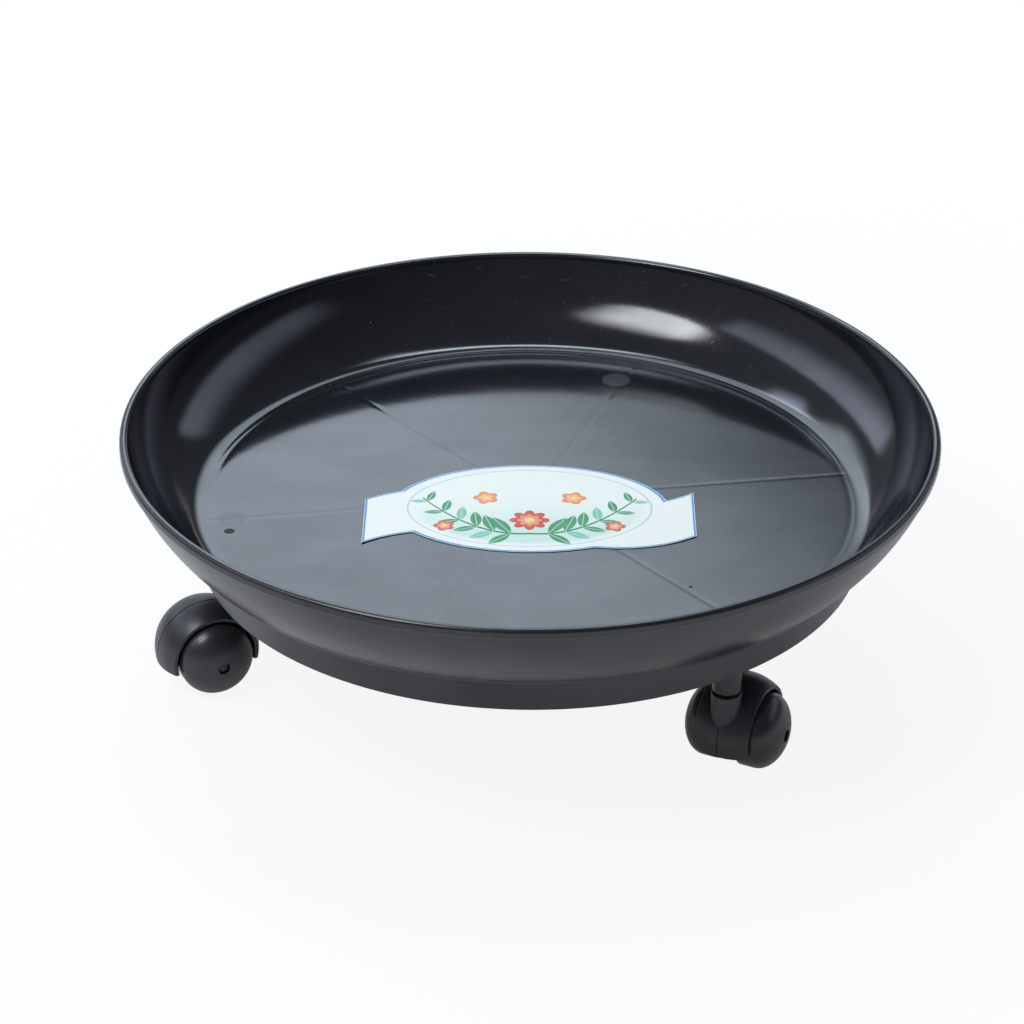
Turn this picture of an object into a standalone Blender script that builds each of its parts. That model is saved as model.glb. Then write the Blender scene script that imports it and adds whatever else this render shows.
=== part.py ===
"""Plant pot caddy: a round moulded tray that rolls on three swivelling twin-wheel casters.

Metres, +Z up. The origin is on the ground under the middle of the tray.
Each caster is built around its stem: the trail runs along local +X and the axle along local Y.
"""

from math import asin, cos, hypot, pi, radians, sin, sqrt, tau

import bmesh
import bpy
from mathutils import Matrix, Vector

# Tray, dish side
RIM_RADIUS = 0.190
DISH_DEPTH = 0.040
BEAD_WIDTH = 0.004
BEAD_BAND = 0.0022
BEAD_STEP = 0.0010
WALL_FLARE = 0.0265
INNER_BULGE = 0.0045
OUTER_BULGE = 0.0028
COVE_WIDTH = 0.007
COVE_RADIUS = 0.014
HEEL_WIDTH = 0.0053
HEEL_DROP = 0.0025
HEEL_RETURN = 0.003
HEEL_BULGE = 0.0008
FLOOR_THICKNESS = 0.0025

# Tray, underside
SKIRT_SETBACK = 0.0082
SKIRT_DEPTH = 0.018
SKIRT_DRAFT = 0.0008
SKIRT_WALL = 0.0025
RIB_THICKNESS = 0.002
RIB_DEPTH = 0.012
RIB_COUNT = 6
HUB_RADIUS = 0.020
HUB_WALL = 0.0025
HUB_DEPTH = 0.014
BOSS_WALL = 0.0029
BOSS_DROP = 0.0175
BOSS_INSET = 0.0065

# Casters, listed with the direction in which each one trails
FIRST_RIB_ANGLE = radians(9.3)
CASTER_TRAIL_ANGLES = {
    "back": radians(118.0),
    "left": radians(205.0),
    "right": radians(63.6),
}
CASTER_RIB_STEP = 2
FIRST_CASTER_RIB = 1
TRAIL = 0.0150

# Wheels and axle
WHEEL_RADIUS = 0.0178
TREAD_WIDTH = 0.0070
TREAD_CHAMFER = 0.0006
DOME_DEPTH = 0.0114
WHEEL_HUB_WALL = 0.0037
WHEEL_RIM_WALL = 0.0032
WHEEL_RECESS = 0.006
WHEEL_SIDE_GAP = 0.0004
AXLE_RADIUS = 0.0025
AXLE_RECESS = 0.0010
AXLE_CHAMFER = 0.0004

# Hood
WHEEL_CLEARANCE = 0.0009
HOOD_EDGE_WALL = 0.0021
HOOD_CROWN_RISE = 0.0036
HOOD_COVER = 0.0078
HOOD_SKIRT_DROP = 0.0047
WEB_BORE_WALL = 0.0014
HOUSING_WALL = 0.0031
HOUSING_PROUD = 0.0008
HOUSING_ROUND = 0.0006

# Stem and grip ring
STEM_RADIUS = 0.0035
STEM_CHAMFER = 0.0007
STEM_IN_HOUSING = 0.022
STEM_IN_BOSS = 0.024
COLLAR_WIDTH = 0.0012
SWIVEL_GAP = 0.0015
RING_WIRE_RADIUS = 0.0005
RING_BELOW_TOP = 0.006
RING_BITE = 0.0005
RING_SPLIT = radians(34.0)

# Label
LABEL_THICKNESS = 0.0004
LABEL_LENGTH = 0.130
LABEL_WIDTH = 0.084
LABEL_SHIFT = -0.011
RIBBON_LENGTH = 0.154
RIBBON_WIDTH = 0.0413
RIBBON_DROP = 0.0096
RIBBON_DIP = 0.0078
RIBBON_DIP_PLACE = 0.0408

# Fit, overlap and facets
FIT_GAP = 0.0003
ROOT = 0.001
CUT_MARGIN = 0.002
TRAY_STEPS = 64
WHEEL_STEPS = 28
HOOD_STEPS = 36
PIN_STEPS = 20
DOME_STEPS = 6
ARCH_STEPS = 10
LABEL_STEPS = 70
MERGE_DISTANCE = 0.00001

# Heights, worked out from the ground up
AXLE_HEIGHT = WHEEL_RADIUS
WHEEL_SPACE_RADIUS = WHEEL_RADIUS + WHEEL_CLEARANCE
HOOD_EDGE_RADIUS = WHEEL_SPACE_RADIUS + HOOD_EDGE_WALL
HOOD_CROWN_RADIUS = HOOD_EDGE_RADIUS + HOOD_CROWN_RISE
HOUSING_TOP = AXLE_HEIGHT + HOOD_CROWN_RADIUS + HOUSING_PROUD
BOSS_BOTTOM = HOUSING_TOP + SWIVEL_GAP
SKIRT_BOTTOM = BOSS_BOTTOM + BOSS_DROP
FLOOR_UNDER = SKIRT_BOTTOM + SKIRT_DEPTH
FLOOR_TOP = FLOOR_UNDER + FLOOR_THICKNESS
RIM_TOP = FLOOR_TOP + DISH_DEPTH

# Radii of the tray, worked out from the rim inwards
WALL_TOP_RADIUS = RIM_RADIUS - BEAD_WIDTH
COVE_TOP_RADIUS = WALL_TOP_RADIUS - WALL_FLARE
FLOOR_RADIUS = COVE_TOP_RADIUS - COVE_WIDTH
HEEL_RADIUS = COVE_TOP_RADIUS + HEEL_WIDTH
SKIRT_RADIUS = HEEL_RADIUS - SKIRT_SETBACK
SKIRT_FOOT_RADIUS = SKIRT_RADIUS - SKIRT_DRAFT
SKIRT_INSIDE = SKIRT_FOOT_RADIUS - SKIRT_WALL

# Stem fits, and what is sized by them
STEM_BORE = STEM_RADIUS + FIT_GAP
BOSS_RADIUS = STEM_BORE + BOSS_WALL
HOUSING_RADIUS = STEM_BORE + HOUSING_WALL
WEB_HALF = STEM_BORE + WEB_BORE_WALL
STEM_CIRCLE = SKIRT_INSIDE - BOSS_INSET - BOSS_RADIUS
STEM_BOTTOM = HOUSING_TOP - STEM_IN_HOUSING
STEM_TOP = BOSS_BOTTOM + STEM_IN_BOSS
RING_HEIGHT = STEM_TOP - RING_BELOW_TOP
RING_RADIUS = STEM_BORE + RING_BITE - RING_WIRE_RADIUS
RING_GROOVE_HALF = RING_WIRE_RADIUS + FIT_GAP
STEM_GROOVE = RING_RADIUS - RING_GROOVE_HALF
BOSS_GROOVE = RING_RADIUS + RING_GROOVE_HALF

# Places along the axle, from the middle of the caster outwards
AXLE_BORE = AXLE_RADIUS + FIT_GAP
WHEEL_INNER = WEB_HALF + WHEEL_SIDE_GAP
TREAD_END = WHEEL_INNER + TREAD_WIDTH
HOOD_HALF_WIDTH = WHEEL_INNER + HOOD_COVER


def start_scene():
    """Empty the scene, and make a collection for the parts and one for the tools that shape them."""
    for obj in list(bpy.data.objects):
        bpy.data.objects.remove(obj)
    parts = bpy.data.collections.new("plant_pot_caddy")
    tools = bpy.data.collections.new("cutters")
    for collection in (parts, tools):
        bpy.context.scene.collection.children.link(collection)
    return parts, tools


PARTS, TOOLS = start_scene()


def material(name, colour, roughness, metallic=0.0):
    """Make a Principled material."""
    made = bpy.data.materials.new(name)
    made.use_nodes = True
    shader = made.node_tree.nodes["Principled BSDF"]
    shader.inputs["Base Color"].default_value = (*colour, 1.0)
    shader.inputs["Roughness"].default_value = roughness
    shader.inputs["Metallic"].default_value = metallic
    return made


TRAY_PLASTIC = material("black_polypropylene", (0.016, 0.018, 0.022), 0.30)
CASTER_PLASTIC = material("black_nylon", (0.020, 0.021, 0.024), 0.38)
WHEEL_PLASTIC = material("satin_black_wheel", (0.024, 0.025, 0.028), 0.42)
STEEL = material("bright_steel", (0.56, 0.57, 0.58), 0.28, 1.0)
AXLE_STEEL = material("dark_steel", (0.06, 0.06, 0.065), 0.38, 1.0)
PAPER = material("white_paper", (0.86, 0.87, 0.87), 0.55)


def arc(start, end, bulge, count):
    """Points after start, up to end, on a circular arc that bulges to the right of travel by bulge."""
    start, end = Vector(start), Vector(end)
    along = (end - start).normalized()
    side = Vector((along.y, -along.x)) * (1.0 if bulge > 0 else -1.0)
    half = (end - start).length / 2
    radius = (half ** 2 + bulge ** 2) / (2 * abs(bulge))
    centre = (start + end) / 2 - side * (radius - abs(bulge))
    sweep = asin(min(1.0, half / radius))
    angles = [sweep * (2 * step / count - 1) for step in range(1, count + 1)]
    return [tuple(centre + side * radius * cos(a) + along * radius * sin(a)) for a in angles]


def turned(name, profile, steps, closed=False, flat_first=False):
    """Turn a profile of (radius, height) points about Z; flat_first sizes it across its flats."""
    spread = 1 / cos(pi / steps) if flat_first else 1.0
    first = pi / steps if flat_first else 0.0
    points = [(r * spread * cos(first), r * spread * sin(first), z) for r, z in profile]
    count = len(points)
    edges = [(i, (i + 1) % count) for i in range(count if closed else count - 1)]
    mesh = bpy.data.meshes.new(name)
    mesh.from_pydata(points, edges, [])
    obj = bpy.data.objects.new(name, mesh)
    TOOLS.objects.link(obj)
    screw = obj.modifiers.new("Turn", "SCREW")
    screw.steps = steps
    screw.render_steps = steps
    screw.use_merge_vertices = True
    screw.merge_threshold = MERGE_DISTANCE
    screw.use_smooth_shade = True
    return obj


def block(name, size, centre):
    """Make a box from its size and centre."""
    mesh = bpy.data.meshes.new(name)
    box = bmesh.new()
    bmesh.ops.create_cube(box, size=1.0)
    bmesh.ops.scale(box, vec=size, verts=box.verts)
    bmesh.ops.translate(box, vec=centre, verts=box.verts)
    box.to_mesh(mesh)
    box.free()
    obj = bpy.data.objects.new(name, mesh)
    TOOLS.objects.link(obj)
    return obj


def combine(obj, operation, tool):
    """Add, cut or keep a tool's shape with a Boolean, and keep the tool out of renders."""
    tool.hide_render = True
    tool.display_type = "WIRE"
    boolean = obj.modifiers.new(f"{operation.title()} {tool.name}", "BOOLEAN")
    boolean.operation = operation
    boolean.solver = "EXACT"
    boolean.object = tool


def finished_mesh(obj):
    """Take the mesh that an object's modifiers make, and remove the object."""
    bpy.context.view_layer.update()
    graph = bpy.context.evaluated_depsgraph_get()
    mesh = bpy.data.meshes.new_from_object(obj.evaluated_get(graph))
    mesh.name = obj.name
    bpy.data.objects.remove(obj)
    return mesh


def place(name, mesh, finish, parent, location=(0, 0, 0), tilt=0.0):
    """Place a mesh as a part, tilted about X, under its parent."""
    part = bpy.data.objects.new(name, mesh)
    part.data.materials.clear()
    part.data.materials.append(finish)
    part.location = location
    part.rotation_euler.x = tilt
    part.parent = parent
    PARTS.objects.link(part)
    return part


def make_part(obj, finish):
    """Move a shaped object from the tools to the parts."""
    TOOLS.objects.unlink(obj)
    PARTS.objects.link(obj)
    obj.data.materials.append(finish)
    return obj


def on_circle(radius, angle, height=0.0):
    """A point at a radius and an angle about Z."""
    return Vector((radius * cos(angle), radius * sin(angle), height))


def rib_angle(index):
    """Direction of one of the tray's radial ribs."""
    return FIRST_RIB_ANGLE + index * tau / RIB_COUNT


def tray_profile():
    """Section of the dish and skirt: out along the floor, over the rim, and back under the floor."""
    cove_rise = COVE_RADIUS - sqrt(COVE_RADIUS ** 2 - COVE_WIDTH ** 2)
    cove_half = hypot(COVE_WIDTH, cove_rise) / 2
    cove_bulge = COVE_RADIUS - sqrt(COVE_RADIUS ** 2 - cove_half ** 2)
    floor_edge = (FLOOR_RADIUS, FLOOR_TOP)
    cove_top = (COVE_TOP_RADIUS, FLOOR_TOP + cove_rise)
    bead_radius = BEAD_WIDTH / 2
    bead_inside = (WALL_TOP_RADIUS, RIM_TOP - bead_radius)
    bead_outside = (RIM_RADIUS, RIM_TOP - bead_radius)
    band_foot = RIM_TOP - bead_radius - BEAD_BAND
    wall_top = (RIM_RADIUS - BEAD_STEP, band_foot - BEAD_STEP / 2)
    wall_foot = (HEEL_RADIUS, FLOOR_UNDER + HEEL_DROP)
    heel_foot = (HEEL_RADIUS - HEEL_RETURN, FLOOR_UNDER)
    return (
        [(0.0, FLOOR_TOP), floor_edge]
        + arc(floor_edge, cove_top, cove_bulge, 3)
        + arc(cove_top, bead_inside, INNER_BULGE, 5)
        + arc(bead_inside, bead_outside, -bead_radius, 6)
        + [(RIM_RADIUS, band_foot), wall_top]
        + arc(wall_top, wall_foot, -OUTER_BULGE, 5)
        + arc(wall_foot, heel_foot, -HEEL_BULGE, 2)
        + [
            (SKIRT_RADIUS, FLOOR_UNDER),
            (SKIRT_FOOT_RADIUS, SKIRT_BOTTOM),
            (SKIRT_INSIDE, SKIRT_BOTTOM),
            (SKIRT_INSIDE, FLOOR_UNDER),
            (0.0, FLOOR_UNDER),
        ]
    )


def hub_ring():
    """The ring under the middle of the floor, where the ribs meet."""
    inside = HUB_RADIUS - HUB_WALL
    top = FLOOR_UNDER + ROOT
    bottom = FLOOR_UNDER - HUB_DEPTH
    profile = [(HUB_RADIUS, top), (HUB_RADIUS, bottom), (inside, bottom), (inside, top)]
    return turned("hub_ring", profile, PIN_STEPS, closed=True)


def rib(index):
    """A rib under the floor, rooted in the hub ring, the floor and the skirt."""
    start = HUB_RADIUS - HUB_WALL / 2
    end = SKIRT_INSIDE + min(ROOT, SKIRT_WALL / 2)
    size = (end - start, RIB_THICKNESS, RIB_DEPTH + ROOT)
    centre = ((start + end) / 2, 0.0, FLOOR_UNDER + ROOT - size[2] / 2)
    made = block(f"rib_{index}", size, centre)
    made.rotation_euler.z = rib_angle(index)
    return made


def boss(name, place_on_tray):
    """The round post under the tray that takes a caster's stem."""
    profile = [
        (0.0, FLOOR_UNDER + ROOT),
        (BOSS_RADIUS, FLOOR_UNDER + ROOT),
        (BOSS_RADIUS, BOSS_BOTTOM),
        (0.0, BOSS_BOTTOM),
    ]
    made = turned(f"{name}_boss", profile, PIN_STEPS)
    made.location = place_on_tray
    return made


def socket(name, place_on_tray):
    """The stem's bore in a boss, with the groove that the grip ring snaps into."""
    groove_top = RING_HEIGHT + RING_GROOVE_HALF
    groove_foot = RING_HEIGHT - RING_GROOVE_HALF
    bore_top = STEM_TOP + FIT_GAP
    mouth = BOSS_BOTTOM - CUT_MARGIN
    profile = [
        (0.0, bore_top),
        (STEM_BORE, bore_top),
        (STEM_BORE, groove_top),
        (BOSS_GROOVE, groove_top),
        (BOSS_GROOVE, groove_foot),
        (STEM_BORE, groove_foot),
        (STEM_BORE, mouth),
        (0.0, mouth),
    ]
    made = turned(f"{name}_socket", profile, PIN_STEPS)
    made.location = place_on_tray
    return made


def make_tray(stem_places):
    """The tray: the turned dish, its ribs and hub, and a bored boss for each caster."""
    tray = make_part(turned("tray", tray_profile(), TRAY_STEPS), TRAY_PLASTIC)
    combine(tray, "UNION", hub_ring())
    for index in range(RIB_COUNT):
        combine(tray, "UNION", rib(index))
    for name, where in stem_places.items():
        combine(tray, "UNION", boss(name, where))
    for name, where in stem_places.items():
        combine(tray, "DIFFERENCE", socket(name, where))


def ribbon_middle(x):
    """How far the ribbon's middle line lies above the middle of the label: a crest, then a dip."""
    share = x / RIBBON_DIP_PLACE
    return RIBBON_DIP * (share ** 3 - 3 * share) / 2 - RIBBON_DROP


def label_edge(x, side):
    """Upper (side 1) or lower (side -1) edge of an oval with a longer, wavy ribbon across it."""
    ribbon = ribbon_middle(x) + side * RIBBON_WIDTH / 2
    half_length, half_width = LABEL_LENGTH / 2, LABEL_WIDTH / 2
    if abs(x) > half_length:
        return ribbon
    oval = side * half_width * sqrt(1 - (x / half_length) ** 2)
    return side * max(side * oval, side * ribbon)


def label_outline():
    """Points around the label: its lower edge from left to right, then its upper edge back."""
    across = [RIBBON_LENGTH * (step / LABEL_STEPS - 0.5) for step in range(LABEL_STEPS + 1)]
    lower = [(x, label_edge(x, -1) + LABEL_SHIFT) for x in across]
    upper = [(x, label_edge(x, 1) + LABEL_SHIFT) for x in reversed(across)]
    return lower + upper


def make_label():
    """The paper label on the floor of the dish."""
    curve = bpy.data.curves.new("label", "CURVE")
    curve.dimensions = "2D"
    curve.fill_mode = "BOTH"
    curve.extrude = LABEL_THICKNESS / 2
    points = label_outline()
    spline = curve.splines.new("POLY")
    spline.points.add(len(points) - 1)
    for point, (x, y) in zip(spline.points, points):
        point.co = (x, y, 0.0, 1.0)
    spline.use_cyclic_u = True
    label = bpy.data.objects.new("label", curve)
    label.location.z = FLOOR_TOP + FIT_GAP + LABEL_THICKNESS / 2
    label.data.materials.append(PAPER)
    PARTS.objects.link(label)


def wheel_profile():
    """Section of a wheel: bored hub, recess, rim, tread and domed face, along its axle."""
    hub = AXLE_BORE + WHEEL_HUB_WALL
    rim_inside = WHEEL_RADIUS - WHEEL_RIM_WALL
    recess = WHEEL_INNER + WHEEL_RECESS
    last = asin(sqrt(1 - (AXLE_BORE / WHEEL_RADIUS) ** 2))
    angles = [last * step / DOME_STEPS for step in range(DOME_STEPS + 1)]
    dome = [(WHEEL_RADIUS * cos(a), TREAD_END + DOME_DEPTH * sin(a)) for a in reversed(angles)]
    return dome + [
        (WHEEL_RADIUS, WHEEL_INNER + TREAD_CHAMFER),
        (WHEEL_RADIUS - TREAD_CHAMFER, WHEEL_INNER),
        (rim_inside, WHEEL_INNER),
        (rim_inside, recess),
        (hub, recess),
        (hub, WHEEL_INNER),
        (AXLE_BORE, WHEEL_INNER),
    ]


def wheel_mesh():
    """A domed wheel, turned about its axle, with a flat where it meets the ground."""
    return finished_mesh(turned("wheel", wheel_profile(), WHEEL_STEPS, closed=True, flat_first=True))


def axle_mesh():
    """The axle: a pin with chamfered ends that stops just inside the domes."""
    dome_hole = DOME_DEPTH * sqrt(1 - (AXLE_BORE / WHEEL_RADIUS) ** 2)
    end = TREAD_END + dome_hole - AXLE_RECESS
    profile = [
        (0.0, end),
        (AXLE_RADIUS - AXLE_CHAMFER, end),
        (AXLE_RADIUS, end - AXLE_CHAMFER),
        (AXLE_RADIUS, AXLE_CHAMFER - end),
        (AXLE_RADIUS - AXLE_CHAMFER, -end),
        (0.0, -end),
    ]
    return finished_mesh(turned("axle", profile, PIN_STEPS))


def stem_mesh():
    """The stem: a steel pin with a collar between the hood and the boss, and a groove for its ring."""
    groove_top = RING_HEIGHT + RING_GROOVE_HALF
    groove_foot = RING_HEIGHT - RING_GROOVE_HALF
    collar = STEM_RADIUS + COLLAR_WIDTH
    collar_top = BOSS_BOTTOM - FIT_GAP
    collar_foot = HOUSING_TOP + FIT_GAP
    profile = [
        (0.0, STEM_TOP),
        (STEM_RADIUS - STEM_CHAMFER, STEM_TOP),
        (STEM_RADIUS, STEM_TOP - STEM_CHAMFER),
        (STEM_RADIUS, groove_top),
        (STEM_GROOVE, groove_top),
        (STEM_GROOVE, groove_foot),
        (STEM_RADIUS, groove_foot),
        (STEM_RADIUS, collar_top),
        (collar, collar_top),
        (collar, collar_foot),
        (STEM_RADIUS, collar_foot),
        (STEM_RADIUS, STEM_BOTTOM),
        (0.0, STEM_BOTTOM),
    ]
    return finished_mesh(turned("stem", profile, PIN_STEPS))


def ring_mesh(points=16):
    """The grip ring: a split ring of round wire."""
    curve = bpy.data.curves.new("grip_ring", "CURVE")
    curve.dimensions = "3D"
    curve.bevel_depth = RING_WIRE_RADIUS
    curve.bevel_resolution = 1
    curve.use_fill_caps = True
    spline = curve.splines.new("POLY")
    spline.points.add(points - 1)
    for index, point in enumerate(spline.points):
        angle = RING_SPLIT / 2 + (tau - RING_SPLIT) * index / (points - 1)
        point.co = (*on_circle(RING_RADIUS, angle, RING_HEIGHT), 1.0)
    wire = bpy.data.objects.new("grip_ring", curve)
    TOOLS.objects.link(wire)
    mesh = finished_mesh(wire)
    weld = bmesh.new()
    weld.from_mesh(mesh)
    bmesh.ops.remove_doubles(weld, verts=weld.verts, dist=MERGE_DISTANCE)
    weld.to_mesh(mesh)
    weld.free()
    return mesh


def hood_profile():
    """Section of the hood's outside along the axle: an arch, highest in the middle."""
    first_edge = (HOOD_EDGE_RADIUS, HOOD_HALF_WIDTH)
    second_edge = (HOOD_EDGE_RADIUS, -HOOD_HALF_WIDTH)
    arch = arc(first_edge, second_edge, -HOOD_CROWN_RISE, ARCH_STEPS)
    return [(0.0, HOOD_HALF_WIDTH), first_edge] + arch + [(0.0, -HOOD_HALF_WIDTH)]


def across(name, profile, steps):
    """Turn a profile about the caster's axle instead of about Z."""
    made = turned(name, profile, steps)
    made.matrix_world = Matrix.Translation((TRAIL, 0.0, AXLE_HEIGHT)) @ Matrix.Rotation(-pi / 2, 4, "X")
    return made


def plain_pin(radius, top, bottom):
    """Profile of a plain cylinder."""
    return [(0.0, top), (radius, top), (radius, bottom), (0.0, bottom)]


def hood_mesh():
    """The hood: an arch over the wheels, a central web, and an upright stem housing."""
    hood = across("hood", hood_profile(), HOOD_STEPS)
    housing_profile = [
        (0.0, HOUSING_TOP),
        (HOUSING_RADIUS - HOUSING_ROUND, HOUSING_TOP),
        (HOUSING_RADIUS, HOUSING_TOP - HOUSING_ROUND),
        (HOUSING_RADIUS, AXLE_HEIGHT),
        (0.0, AXLE_HEIGHT),
    ]
    outside = HOOD_HALF_WIDTH + CUT_MARGIN
    reach = 2 * (HOOD_CROWN_RADIUS + TRAIL + CUT_MARGIN)
    below = AXLE_HEIGHT - HOOD_SKIRT_DROP
    first_space = plain_pin(WHEEL_SPACE_RADIUS, outside, WEB_HALF)
    second_space = plain_pin(WHEEL_SPACE_RADIUS, -WEB_HALF, -outside)
    stem_bore = plain_pin(STEM_BORE, HOUSING_TOP + CUT_MARGIN, STEM_BOTTOM - FIT_GAP)
    axle_bore = plain_pin(AXLE_BORE, outside, -outside)
    housing = turned("stem_housing", housing_profile, PIN_STEPS)
    cutters = [
        across("first_wheel_space", first_space, HOOD_STEPS),
        across("second_wheel_space", second_space, HOOD_STEPS),
        block("below_hood", (2 * reach, reach, reach), (TRAIL, 0.0, below - reach / 2)),
        turned("stem_bore", stem_bore, PIN_STEPS),
        across("axle_bore", axle_bore, PIN_STEPS),
    ]
    combine(hood, "UNION", housing)
    for cutter in cutters:
        combine(hood, "DIFFERENCE", cutter)
    mesh = finished_mesh(hood)
    mesh.transform(Matrix.Translation((TRAIL, 0.0, AXLE_HEIGHT)) @ Matrix.Rotation(-pi / 2, 4, "X"))
    for tool in [housing] + cutters:
        bpy.data.objects.remove(tool)
    return mesh


def make_casters(stem_places):
    """Three casters, each around an empty on its swivel axis, with its wheels on their axle."""
    hood, stem, ring, axle, wheel = hood_mesh(), stem_mesh(), ring_mesh(), axle_mesh(), wheel_mesh()
    axle_place = (TRAIL, 0.0, AXLE_HEIGHT)
    for name, where in stem_places.items():
        swivel = bpy.data.objects.new(f"{name}_swivel", None)
        swivel.location = where
        swivel.rotation_euler.z = CASTER_TRAIL_ANGLES[name]
        PARTS.objects.link(swivel)
        place(f"{name}_hood", hood, CASTER_PLASTIC, swivel)
        place(f"{name}_stem", stem, STEEL, swivel)
        place(f"{name}_grip_ring", ring, STEEL, swivel)
        place(f"{name}_axle", axle, AXLE_STEEL, swivel, axle_place, -pi / 2)
        place(f"{name}_wheel_1", wheel, WHEEL_PLASTIC, swivel, axle_place, -pi / 2)
        place(f"{name}_wheel_2", wheel, WHEEL_PLASTIC, swivel, axle_place, pi / 2)


def caster_places():
    """Where the stems stand: under every second rib, just inside the skirt."""
    return {
        name: on_circle(STEM_CIRCLE, rib_angle(FIRST_CASTER_RIB + CASTER_RIB_STEP * index))
        for index, name in enumerate(CASTER_TRAIL_ANGLES)
    }


def main():
    """Build the caddy."""
    places = caster_places()
    make_tray(places)
    make_label()
    make_casters(places)


main()
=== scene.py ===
from math import asin, atan, atan2, cos, exp, hypot, pi, radians, sin, sqrt, tan, tau

import bmesh
import bpy
from mathutils import Matrix, Vector


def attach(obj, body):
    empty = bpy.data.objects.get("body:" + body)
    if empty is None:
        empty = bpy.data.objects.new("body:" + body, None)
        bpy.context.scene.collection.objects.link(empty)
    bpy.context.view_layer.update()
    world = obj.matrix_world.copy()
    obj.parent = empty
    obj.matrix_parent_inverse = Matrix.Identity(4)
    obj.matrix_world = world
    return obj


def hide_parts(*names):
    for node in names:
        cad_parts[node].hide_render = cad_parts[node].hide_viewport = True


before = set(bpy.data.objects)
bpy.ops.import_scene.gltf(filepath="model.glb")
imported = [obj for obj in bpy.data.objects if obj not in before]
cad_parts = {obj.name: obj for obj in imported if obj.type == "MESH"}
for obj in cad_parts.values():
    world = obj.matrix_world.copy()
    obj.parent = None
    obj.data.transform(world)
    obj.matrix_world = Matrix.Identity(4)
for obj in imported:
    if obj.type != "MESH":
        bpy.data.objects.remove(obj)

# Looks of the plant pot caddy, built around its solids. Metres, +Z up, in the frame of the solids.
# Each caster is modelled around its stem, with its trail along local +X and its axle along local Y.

SCENE = bpy.context.scene
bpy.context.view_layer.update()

# Tray
RIM_RADIUS = 0.190
RIM_TOP = 0.1225
BEAD_WIDTH = 0.004
BEAD_BAND = 0.0022
BEAD_STEP = 0.0010
WALL_TOP_RADIUS = 0.186
COVE_TOP_RADIUS = 0.1595
COVE_RADIUS = 0.014
COVE_WIDTH = 0.007
FLOOR_RADIUS = 0.1525
FLOOR_TOP = 0.0825
FLOOR_UNDER = 0.0800
INNER_BULGE = 0.0045
OUTER_BULGE = 0.0028
HEEL_RADIUS = 0.1648
WALL_FOOT_INSET = 0.0006
HEEL_DROP = 0.0010
HEEL_RETURN = 0.0014
HEEL_BULGE = 0.0003
SKIRT_RADIUS = 0.1566
SKIRT_FOOT_RADIUS = 0.1558
SKIRT_INSIDE = 0.1533
SKIRT_BOTTOM = 0.0620
HUB_RADIUS = 0.020
HUB_WALL = 0.0025
HUB_DEPTH = 0.014
RIB_COUNT = 6
RIB_THICKNESS = 0.002
RIB_DEPTH = 0.012
FIRST_RIB_ANGLE = radians(9.3)
BOSS_RADIUS = 0.0067
BOSS_BOTTOM = 0.0445
STEM_CIRCLE = 0.1401
OUTSIDE_ROUND = 0.0006
UNDERSIDE_ROUND = 0.0005
RIB_ROUND = 0.0004
ROOT_OVERLAP = 0.0008
RIB_OVERLAP = 0.001
CUT_MARGIN = 0.002

# Sink marks that the ribs, the hub and the moulding's edge leave on the floor, and its slight waves
RIB_SINK = 0.00007
RIB_SINK_WIDTH = 0.0013
EDGE_SINK = 0.00005
EDGE_SINK_RADIUS = 0.1503
EDGE_FADE = 0.0015
FLOOR_WAVE = 0.00010
PANEL_SAG = 0.00012

# Marks on the floor: a hazy disc and a rubbed place and its direction, which are marks of use, and dark spots with
# their radii, the larger of them painted shade of a small pit
BACK_MARK = (0.0429, 0.1231, FLOOR_TOP)
RUBBED_PLACE = ((0.041, 0.065, FLOOR_TOP), radians(66))
DARK_SPOTS = (
    ((0.0725, -0.0835, FLOOR_TOP), 0.0012),
    ((-0.1385, -0.0345, FLOOR_TOP), 0.0032),
)

# Casters: the rib that carries each one, and the direction in which it trails
CASTERS = {
    "back": (1, radians(118.0)),
    "left": (3, radians(205.0)),
    "right": (5, radians(63.6)),
}
TRAIL = 0.0150
AXLE_HEIGHT = 0.0178
AXLE_RADIUS = 0.0025
AXLE_BORE = 0.0028
AXLE_END = 0.02286
AXLE_DOME = 0.0002
WHEEL_RADIUS = 0.0178
WHEEL_INNER = 0.0056
TREAD_END = 0.0126
DOME_DEPTH = 0.0114
DOME_STEPS = 26
DOME_EDGE_STEPS = 8
WHEEL_HUB_RADIUS = 0.0065
WHEEL_RIM_INSIDE = 0.0146
WHEEL_RECESS_END = 0.0116
HOOD_CROWN_RADIUS = 0.0244
HOOD_EDGE_RADIUS = 0.0208
HOOD_HALF_WIDTH = 0.0134
HOOD_SKIRT_DROP = 0.0047
WHEEL_SPACE_RADIUS = 0.0190
WEB_HALF = 0.0052
SEAM_WIDTH = 0.0004
SEAM_DEPTH = 0.0004
SEAM_SLOPE = 0.0001
HOUSING_RADIUS = 0.0069
HOUSING_TOP = 0.043
STEM_RADIUS = 0.0035
STEM_BORE = 0.0038
STEM_BOTTOM = 0.021
STEM_TOP = 0.0685
COLLAR_RADIUS = 0.0047
FIT_GAP = 0.0003
RING_LOW = radians(21)
RING_HIGH = radians(24.5)
RING_DEPTH = 0.00007
WHEEL_ROUND = 0.00045
AXLE_ROUND = 0.0004
STEM_ROUND = 0.0003
HOOD_ROUND = 0.0006
HOUSING_ROUND = 0.0007
WHEEL_CUT_MARGIN = 0.004
CUT_BLOCK = 0.09

# Label
LABEL_LENGTH = 0.130
LABEL_WIDTH = 0.084
LABEL_SHIFT = -0.011
RIBBON_LENGTH = 0.154
RIBBON_WIDTH = 0.0413
RIBBON_DROP = 0.0096
RIBBON_DIP = 0.0078
RIBBON_DIP_PLACE = 0.0408
LABEL_THICKNESS = 0.0002
LABEL_LIFT = 0.00008
LABEL_CURL = 0.00035

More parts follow.
